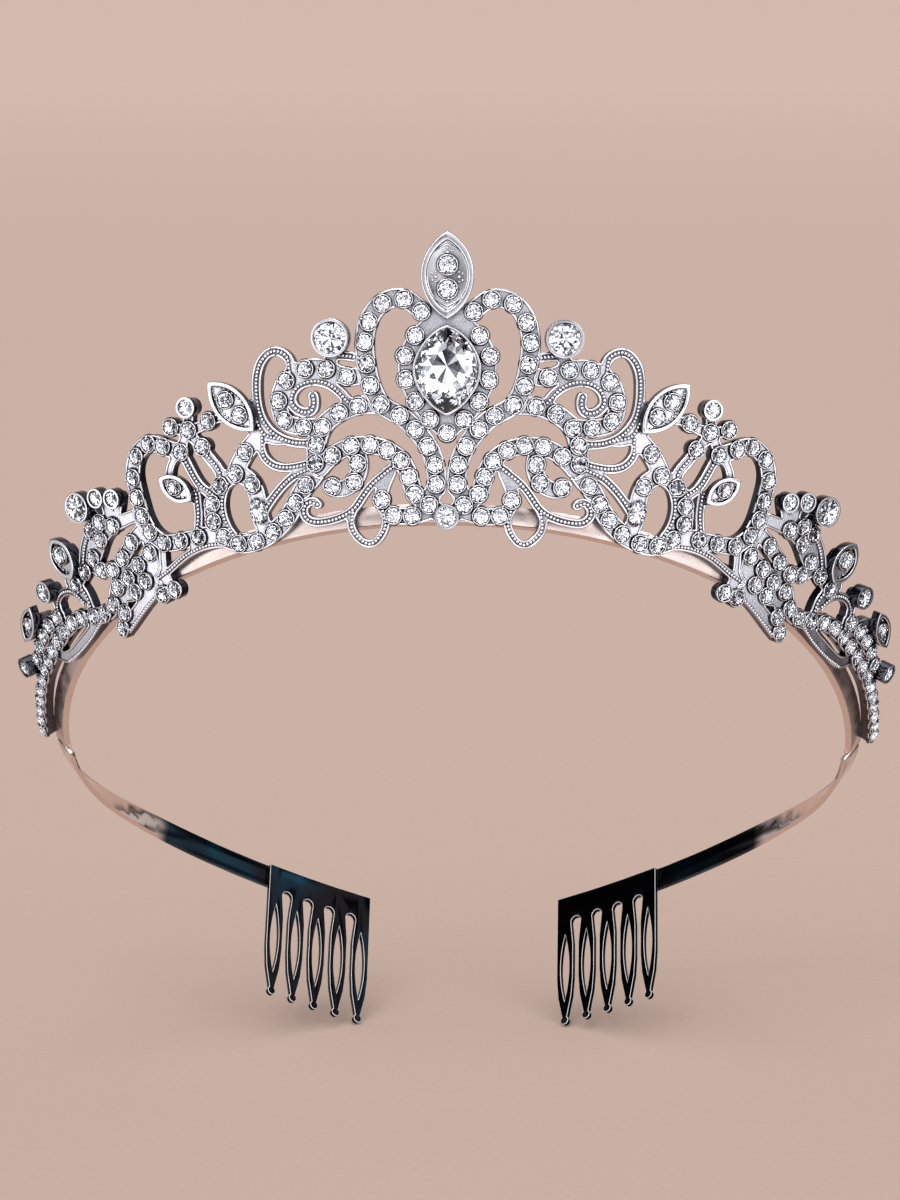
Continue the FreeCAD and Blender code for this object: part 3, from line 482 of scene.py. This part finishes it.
def faceted(outline, culet, girdle, thick, top, table, star):
    """A faceted stone from a sixteen-sided outline. The first slot is its crown, the second its foil.
    Heights are from its back; table and star are shares of the outline."""
    def ring(scale, height, pick):
        """Chosen points of the outline, scaled and raised."""
        return [(outline[i][0] * scale, outline[i][1] * scale, height) for i in pick]
    even, odd = range(0, 16, 2), range(1, 16, 2)
    middle = girdle + thick + (top - girdle - thick) * 0.52
    points = ring(table, top, even) + ring(star, middle, odd)
    points += ring(1.0, girdle + thick, range(16)) + ring(1.0, girdle, range(16))
    points += ring(0.52, culet + (girdle - culet) * 0.40, odd) + [(0.0, 0.0, culet)]
    faces, slots = [tuple(range(8))], [0]
    g, low, back, tip = 16, 32, 48, 56
    for i in range(8):
        n = (i + 1) % 8
        here, mid, nxt = 2 * i, 2 * i + 1, (2 * i + 2) % 16
        before = (i - 1) % 8
        crown = [(i, 8 + i, n), (i, 8 + before, g + here, 8 + i)]
        crown += [(8 + i, g + here, g + mid), (8 + i, g + mid, g + nxt)]
        wall = [(g + here, low + here, low + mid, g + mid), (g + mid, low + mid, low + nxt, g + nxt)]
        foil = [(tip, back + i, low + here, back + before), (back + i, low + mid, low + here),
                (back + i, low + nxt, low + mid)]
        faces += crown + wall + foil
        slots += [0] * 6 + [1] * 3
    return points, faces, slots


def loose_parts(node):
    """The separate solids of a CAD node, each as an array of its corner points."""
    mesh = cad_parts[node].data
    points = np.array([v.co for v in mesh.vertices], float)
    keys = {}
    same = np.array([keys.setdefault(tuple(np.round(p * 1e6).astype(int)), len(keys)) for p in points])
    parent = list(range(len(keys)))

    def root(i):
        """The first of the points joined to this one."""
        while parent[i] != i:
            parent[i] = parent[parent[i]]
            i = parent[i]
        return i

    for face in mesh.polygons:
        first = root(same[face.vertices[0]])
        for v in face.vertices[1:]:
            parent[root(same[v])] = first
    groups = {}
    for key, number in keys.items():
        groups.setdefault(root(number), []).append(np.array(key) * 1e-6)
    return [np.array(g) for _, g in sorted(groups.items())]


def stone_seats(node):
    """For each round stone of a CAD node: its matrix, z out of the stone from its back, and its radius."""
    seats = []
    for number, part in enumerate(loose_parts(node)):
        middle = part.mean(0)
        along, up, off = on_sheet(middle)
        frame_here = seat(along, up, off)
        out = Vector(frame_here.col[2][:3])
        heights = (part - middle) @ np.array(out)
        low = heights.min()
        spokes = (part - middle) - np.outer(heights, np.array(out))
        radius = np.linalg.norm(spokes, axis=1).max() / MM
        back = Vector(middle) + out * low
        spin = Matrix.Rotation(0.9 * number, 4, "Z") @ Matrix.Rotation(math.radians(3.5), 4, "X")
        matrix = Matrix.Translation(back) @ frame_here.to_3x3().to_4x4() @ spin @ Matrix.Scale(MM, 4)
        seats.append((matrix, radius))
    return seats


def round_stones(node, name, cups=True):
    """Faceted stones for a CAD node of round stones, with the cups and grains that hold them."""
    stones, metal = Builder(), Builder()
    for matrix, r in stone_seats(node):
        gem = r - GEM_GAP if cups else r
        points, faces, slots = faceted(circle16(gem), 0.02 * r, 0.34 * r, 0.05 * r, 0.62 * r, 0.54, 0.80)
        stones.put(points, faces, matrix, slots)
        if not cups:
            continue
        # the cup's section: a sloping skirt, a bright lip and an inner wall, the skirt and wall in shade
        rim = [(r + 0.47, -0.10), (r + 0.29, 0.22 * r), (r + 0.25, 0.36 * r), (r + 0.17, 0.39 * r),
               (r + 0.09, 0.36 * r), (r + 0.05, 0.24 * r), (r + 0.03, 0.02)]
        points, faces = turned_ring(rim, 20)
        shaded = [1 if k % len(rim) in (0, 4, 5) else 0 for k in range(len(faces))]
        metal.put(points, faces, matrix, shaded)
        for k in range(GRAIN_COUNT):
            turn = 2 * math.pi * (k + 0.5) / GRAIN_COUNT
            place = Matrix.Translation((math.cos(turn) * (r + 0.02), math.sin(turn) * (r + 0.02), 0.40 * r))
            metal.put(*ball(GRAIN_RADIUS), matrix @ place)
    gems = stones.make(name, [CLEAR, FOIL], "crystal", smooth=False)
    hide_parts(node)
    if cups:
        metal.make(name + "_cups", [BRIGHT, SHADE], "bright_setting")


def front_loops(node):
    """Closed lines round the front face of a casting, as lists of (along, up)."""
    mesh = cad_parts[node].data
    keys, spots = {}, []
    index = []
    for v in mesh.vertices:
        key = tuple(round(c * 2e5) for c in v.co)
        if key not in keys:
            keys[key] = len(spots)
            spots.append(on_sheet(v.co))
        index.append(keys[key])
    front = [s[2] > SHEET_FRONT - 0.02 for s in spots]
    count = {}
    for face in mesh.polygons:
        ring = [index[v] for v in face.vertices]
        if not all(front[i] for i in ring):
            continue
        for a, b in zip(ring, ring[1:] + ring[:1]):
            if a != b:
                count.setdefault((min(a, b), max(a, b)), []).append((a, b))
    following, arriving = {}, {}
    for pair in count.values():
        if len(pair) == 1:
            a, b = pair[0]
            following.setdefault(a, []).append(b)
            arriving[b] = arriving.get(b, 0) + 1
    loops = []
    while following:
        ends = [a for a in following if len(following[a]) > arriving.get(a, 0)]
        start = ends[0] if ends else next(iter(following))
        line, here = [start], start
        while here in following:
            step = following[here].pop()
            arriving[step] -= 1
            if not following[here]:
                del following[here]
            here = step
            if here == start:
                break
            line.append(here)
        if len(line) > 5:
            loops.append(([spots[i][:2] for i in line], here == start))
    return loops


def resampled(line, step, closed):
    """Even places along a line on the sheet, measured in true millimetres."""
    pts = np.array(line + line[:1] if closed else line, float)
    stretch = 1 + pts[:, 1] * math.sin(LEAN) / BAND_RADIUS
    seg = np.hypot(np.diff(pts[:, 0]) * (stretch[1:] + stretch[:-1]) / 2, np.diff(pts[:, 1]))
    run = np.concatenate([[0], np.cumsum(seg)])
    if run[-1] < 2 * step:
        return []
    count = max(4, int(round(run[-1] / step)))
    where = np.linspace(0, run[-1], count + (0 if closed else 1), endpoint=not closed)
    return list(zip(np.interp(where, run, pts[:, 0]), np.interp(where, run, pts[:, 1])))


def tube_on_sheet(builder, places, radius, off, closed, sides=7, inset=0.0):
    """A round wire laid on the sheet through the places."""
    count = len(places)
    if count < 4:
        return
    spots = [Vector(seat(a, u, off).translation) for a, u in places]
    outs = [Vector(seat(a, u, off).col[2][:3]) for a, u in places]
    rings = []
    for i in range(count):
        before = spots[(i - 1) % count] if closed or i else spots[i]
        after = spots[(i + 1) % count] if closed or i < count - 1 else spots[i]
        along = (after - before).normalized()
        side = outs[i].cross(along).normalized()
        middle = spots[i] + side * (inset * MM)
        rings.append([middle + (side * math.cos(t) + outs[i] * math.sin(t)) * (radius * MM)
                      for t in (2 * math.pi * k / sides for k in range(sides))])
    points = [p for ring in rings for p in ring]
    faces = []
    for i in range(count if closed else count - 1):
        n = (i + 1) % count
        for k in range(sides):
            m = (k + 1) % sides
            faces.append((i * sides + k, i * sides + m, n * sides + m, n * sides + k))
    if not closed:
        faces.append(tuple(range(sides))[::-1])
        faces.append(tuple((count - 1) * sides + k for k in range(sides)))
    builder.put(points, faces, Matrix.Identity(4))


def curve_through(values, steps=8):
    """A smooth line through a flat list of along, up values."""
    p = [Vector((values[i], values[i + 1])) for i in range(0, len(values), 2)]
    p = [p[0] * 2 - p[1]] + p + [p[-1] * 2 - p[-2]]
    line = []
    for i in range(1, len(p) - 2):
        for k in range(steps):
            t = k / steps
            a, b, c, d = p[i - 1], p[i], p[i + 1], p[i + 2]
            line.append(tuple(0.5 * ((2 * b) + (c - a) * t + (2 * a - 5 * b + 4 * c - d) * t * t
                                     + (3 * b - a - 3 * c + d) * t ** 3)))
    line.append(tuple(p[-2]))
    return line


def rails(node, name, casting):
    """Raised rounded edges round every opening and outline of a casting."""
    metal = Builder()
    for loop, closed in front_loops(node):
        places = resampled(loop, RAIL_STEP, closed)
        tube_on_sheet(metal, places, RAIL_RADIUS, SHEET_FRONT + 0.03, closed, inset=RAIL_INSET)
    metal.make(name, [casting], "bright_setting")


def ropes(name, bars, side):
    """Milgrain beads in a row down the stone-free bars, between their rails."""
    metal = Builder()
    for bar in bars:
        places = resampled(curve_through(bar), BEAD_STEP, False)
        for a, u in places:
            metal.put(*ball(BEAD_RADIUS, 5, 9), seat(side * a, u, SHEET_FRONT + 0.10) @ Matrix.Scale(MM, 4))
    metal.make(name, [SILVER], "cast_silver")


def dress(node, material, width, segments=2, angle=35.0, edge=None):
    """Gives a CAD node its material and rounds its edges by a width in millimetres. The edges may get a
    painted highlight as a material of their own, and then small flat faces are joined first."""
    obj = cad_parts[node]
    obj.data.materials.clear()
    obj.data.materials.append(material)
    if edge:
        obj.data.materials.append(edge)
    weld = obj.modifiers.new("weld", "WELD")
    weld.merge_threshold = 2e-6
    if edge:
        flat = obj.modifiers.new("flat", "DECIMATE")
        flat.decimate_type = "DISSOLVE"
        flat.angle_limit = math.radians(1.2)
    if width:
        bevel = obj.modifiers.new("bevel", "BEVEL")
        bevel.width = width * MM
        bevel.segments = segments
        bevel.limit_method = "ANGLE"
        bevel.angle_limit = math.radians(angle)
        # The bevel faces take the second material, the painted edge highlight.
        bevel.material = 1 if edge else -1
    for face in obj.data.polygons:
        face.use_smooth = True
    sharp = obj.modifiers.new("sharp", "EDGE_SPLIT")
    sharp.split_angle = math.radians(34.0)


def leaf_beads(name, along, up, spin, length, half, side, rises, radius):
    """A row of grains just inside the rim of a marquise setting, leaving its stones clear."""
    metal = Builder()
    base = seat(side * along, up, SHEET_FRONT + SETTING_FACE, side * spin) @ Matrix.Scale(MM, 4)
    bow = (half ** 2 + (length / 2) ** 2) / (2 * half)
    reach = math.asin((length / 2) / bow)
    count = int(length / BEAD_STEP)
    for edge in (-1, 1):
        for i in range(1, count):
            t = -reach + 2 * reach * i / count
            x = edge * (bow * math.cos(t) - (bow - half) - 1.05)
            y = bow * math.sin(t)
            clear = all(math.hypot(x, y - rise) > radius + 0.30 for rise in rises)
            if edge * x > 0.10 and clear:
                metal.put(*ball(0.24), base @ Matrix.Translation((x, y, 0.08)))
    metal.make(name, [BRIGHT], "bright_setting")


def lens(length, half, count):
    """Places round a pointed oval, sideways and lengthways."""
    bow = (half ** 2 + (length / 2) ** 2) / (2 * half)
    reach = math.asin((length / 2) / bow)
    edge = [(bow * math.cos(t) - (bow - half), bow * math.sin(t))
            for t in (-reach + 2 * reach * i / count for i in range(count))]
    return edge + [(-x, -y) for x, y in edge]


def finial_grains():
    """The inner line and the small grains in the marquise on top."""
    metal = Builder()
    line = [(x, FINIAL_RISE + y) for x, y in lens(FINIAL[0] - 4.4, FINIAL[1] - 1.35, 24)]
    tube_on_sheet(metal, line, 0.17, SHEET_FRONT + 1.08, True)
    base = seat(0.0, FINIAL_RISE, SHEET_FRONT + 1.10) @ Matrix.Scale(MM, 4)
    for x, y, radius in FINIAL_GRAINS:
        for side in (-1, 1) if x else (1,):
            metal.put(*ball(radius, 5, 10), base @ Matrix.Translation((side * x, y, 0.0)))
    metal.make("finial_grains", [BRIGHT], "bright_setting")


def drop_stone(node, name, size, heights, along, up, off):
    """A faceted drop for a CAD node. size is its half width and its reach above and below; heights are
    those of its culet and girdle, the girdle's thickness and its top."""
    stones = Builder()
    points, faces, slots = faceted(drop16(*size), *heights, 0.46, 0.76)
    stones.put(points, faces, seat(along, up, off) @ Matrix.Scale(MM, 4), slots)
    gem = stones.make(name, [CLEAR, FOIL], "crystal", smooth=False)
    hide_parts(node)


def build_centre():
    """The middle casting, its stones, the finial and the large drop."""
    dress("centre_casting", SILVER, 0.0)
    rails("centre_casting", "centre_rails", BRIGHT)
    round_stones("centre_stones", "centre_gems")
    round_stones("halo_stones", "halo_gems")
    round_stones("finial_stones", "finial_gems")
    round_stones("base_stone", "base_gem", cups=False)
    dress("finial_setting", BRIGHT, 0.22, 3)
    dress("drop_setting", BRIGHT, 0.12, 3)
    dress("base_cup", BRIGHT, 0.14, 3)
    finial_grains()
    drop_stone("drop_crystal", "drop_gem", (5.2, 6.3, 7.8), (0.0, 0.95, 0.12, 2.6), 0.0, BIG_DROP_RISE,
               SHEET_FRONT + 0.93)


def build_side(name, side):
    """The castings, settings, stones, tail and comb of one side."""
    for kind in ("scroll", "flower", "end"):
        node = "%s_casting_%s" % (kind, name)
        dress(node, SILVER, 0.0)
        rails(node, "%s_rails_%s" % (kind, name), BRIGHT)
        round_stones("%s_stones_%s" % (kind, name), "%s_gems_%s" % (kind, name))
    ropes("rope_grains_" + name, ROPE_BARS, side)
    pairs = (("large_cup", "large_stone"), ("bud_cup", "bud_stone"), ("end_cups", "end_cup_stones"))
    for cup, stone in pairs:
        dress("%s_%s" % (cup, name), BRIGHT, 0.12, 3)
        round_stones("%s_%s" % (stone, name), "%s_gems_%s" % (cup, name), cups=False)
    for label, along, up, spin, length, half, rises, radius in LEAVES:
        dress("%s_%s" % (label, name), BRIGHT, 0.16, 3)
        round_stones("%s_stones_%s" % (label, name), "%s_gems_%s" % (label, name))
        leaf_beads("%s_grains_%s" % (label, name), along, up, spin, length, half, side, rises, radius)
    along, up = SIDE_DROP
    drop_stone("side_drop_" + name, "side_drop_gem_" + name, (1.6, 2.2, 2.6), (0.0, 0.45, 0.06, 1.2),
               side * along, up, SHEET_FRONT + 0.02)
    # Tail and comb get a painted highlight on their rounded edges.
    dress("band_tail_" + name, TAIL, 0.12, 2, angle=60.0, edge=EDGE_HIGHLIGHT)
    dress("comb_" + name, CHROME, 0.16, 3, edge=EDGE_HIGHLIGHT)


def light(name, place, aim, size, power):
    """A soft rectangular light, sizes in metres and power in watts."""
    data = bpy.data.lights.new(name, "AREA")
    data.shape = "RECTANGLE"
    data.size, data.size_y = size
    data.energy = power
    obj = bpy.data.objects.new(name, data)
    obj.location = place
    obj.rotation_euler = (Vector(aim) - Vector(place)).to_track_quat("-Z", "Y").to_euler()
    bpy.context.scene.collection.objects.link(obj)


def studio():
    """Pale floor, soft lights and a plain room that gives the metal something to mirror."""
    floor_z = cad_box[0][2]
    bpy.ops.mesh.primitive_plane_add(size=60.0, location=(0, 10.0, floor_z))
    floor = bpy.context.object
    floor.name = "floor"
    floor.data.materials.append(floor_paper())
    floor.visible_glossy = False
    floor.visible_transmission = False
    room()
    light("key", (-0.35, -0.9, 0.95), (0, 0.03, 0), (0.7, 0.5), 5.0)
    light("fill", (0.8, -0.6, 0.45), (0, 0.03, 0), (0.6, 0.6), 2.0)
    light("top", (0.0, 0.25, 1.2), (0, 0.05, 0), (0.9, 0.9), 3.0)


def floor_paper():
    """Warm matt paper, with painted light making it a little paler towards the back."""
    mat, tree, shader = new_material("floor_paper")
    link = tree.links.new
    coords = object_coords(tree)
    tooth = add(tree, "ShaderNodeTexNoise", Scale=900.0, Detail=4.0)
    link(coords, tooth.inputs["Vector"])
    split = tree.nodes.new("ShaderNodeSeparateXYZ")
    link(coords, split.inputs[0])
    depth = tree.nodes.new("ShaderNodeMapRange")
    depth.inputs["From Min"].default_value = PAPER_NEAR
    depth.inputs["From Max"].default_value = PAPER_FAR
    link(split.outputs["Y"], depth.inputs["Value"])
    # Painted light: the near paper is coloured darker and the far paper paler.
    near = ramp(tree, ((0.3, (0.455, 0.333, 0.284)), (0.7, (0.470, 0.345, 0.294))))
    far = ramp(tree, ((0.3, (0.705, 0.520, 0.449)), (0.7, (0.727, 0.537, 0.464))))
    link(tooth.outputs["Fac"], near.inputs["Fac"])
    link(tooth.outputs["Fac"], far.inputs["Fac"])
    mix = tree.nodes.new("ShaderNodeMix")
    mix.data_type = "RGBA"
    link(depth.outputs["Result"], mix.inputs["Factor"])
    link(near.outputs["Color"], mix.inputs["A"])
    link(far.outputs["Color"], mix.inputs["B"])
    link(mix.outputs["Result"], shader.inputs["Base Color"])
    shader.inputs["Roughness"].default_value = 0.95
    shader.inputs["Specular IOR Level"].default_value = 0.1
    return mat


def panels(tree, coords, scale, stops):
    """Flat cells of light and dark all round."""
    panes = tree.nodes.new("ShaderNodeTexVoronoi")
    panes.inputs["Scale"].default_value = scale
    tree.links.new(coords, panes.inputs["Vector"])
    grey = tree.nodes.new("ShaderNodeSeparateColor")
    tree.links.new(panes.outputs["Color"], grey.inputs[0])
    tone = ramp(tree, stops)
    tree.links.new(grey.outputs[0], tone.inputs["Fac"])
    return tone.outputs["Color"]


def room():
    """Even white light. Metal mirrors pale panels in front, dark sides and the warm paper behind and
    below; the stones gather light and dark cells from all round."""
    world = bpy.data.worlds.new("room")
    world.use_nodes = True
    bpy.context.scene.world = world
    tree = world.node_tree
    tree.nodes.clear()
    link = tree.links.new
    coords = tree.nodes.new("ShaderNodeTexCoord").outputs["Generated"]
    split = tree.nodes.new("ShaderNodeSeparateXYZ")
    link(coords, split.inputs[0])
    front = panels(tree, coords, 3.6, ((0.16, (0.03, 0.03, 0.04)), (0.30, (0.60, 0.60, 0.64)),
                                       (0.60, (0.95, 0.95, 1.0)), (0.85, (1.9, 1.9, 2.0))))
    sides = panels(tree, coords, 3.6, ((0.30, (0.02, 0.02, 0.025)), (0.55, (0.14, 0.14, 0.15)),
                                       (0.85, (0.60, 0.59, 0.60))))
    sparks = panels(tree, coords, 5.5, ((0.30, (0.015, 0.015, 0.025)), (0.42, (0.22, 0.22, 0.25)),
                                        (0.58, (0.85, 0.85, 0.90)), (0.80, (2.6, 2.6, 2.7))))
    paper = (0.60, 0.45, 0.39)
    mirrored = blended(tree, share(tree, split.outputs["Y"], 0.05, -0.40), sides, front)
    mirrored = blended(tree, share(tree, split.outputs["Y"], 0.62, 0.82), mirrored, paper)
    mirrored = blended(tree, share(tree, split.outputs["Z"], -0.45, -0.75), mirrored, paper)
    path = tree.nodes.new("ShaderNodeLightPath")
    colour = blended(tree, path.outputs["Is Glossy Ray"], (0.92, 0.91, 0.90), mirrored)
    colour = blended(tree, path.outputs["Is Transmission Ray"], colour, sparks)
    shown = add(tree, "ShaderNodeBackground", Strength=1.0)
    link(colour, shown.inputs["Color"])
    out = tree.nodes.new("ShaderNodeOutputWorld")
    link(shown.outputs[0], out.inputs["Surface"])


def camera():
    """A long lens a little above the tiara, aimed just under its front centre."""
    rise, swing = CAMERA_RISE, CAMERA_SWING
    back = Vector((math.sin(swing) * math.cos(rise), -math.cos(swing) * math.cos(rise), math.sin(rise)))
    right = (-back).cross(Vector((0, 0, 1))).normalized()
    up = right.cross(-back)
    data = bpy.data.cameras.new("camera")
    data.lens = CAMERA_LENS
    data.sensor_width = 36.0
    data.clip_start = 0.01
    data.clip_end = 100.0
    obj = bpy.data.objects.new("camera", data)
    obj.location = back * CAMERA_DISTANCE
    aim = right * AIM_RIGHT - up * AIM_DOWN
    obj.rotation_euler = (aim - obj.location).to_track_quat("-Z", "Y").to_euler()
    bpy.context.scene.collection.objects.link(obj)
    bpy.context.scene.camera = obj


dress("headband_front", STRIP, 0.12)
build_centre()
for side_name, side_sign in SIDES:
    build_side(side_name, side_sign)
studio()
camera()
bpy.context.scene.view_settings.view_transform = "Standard"
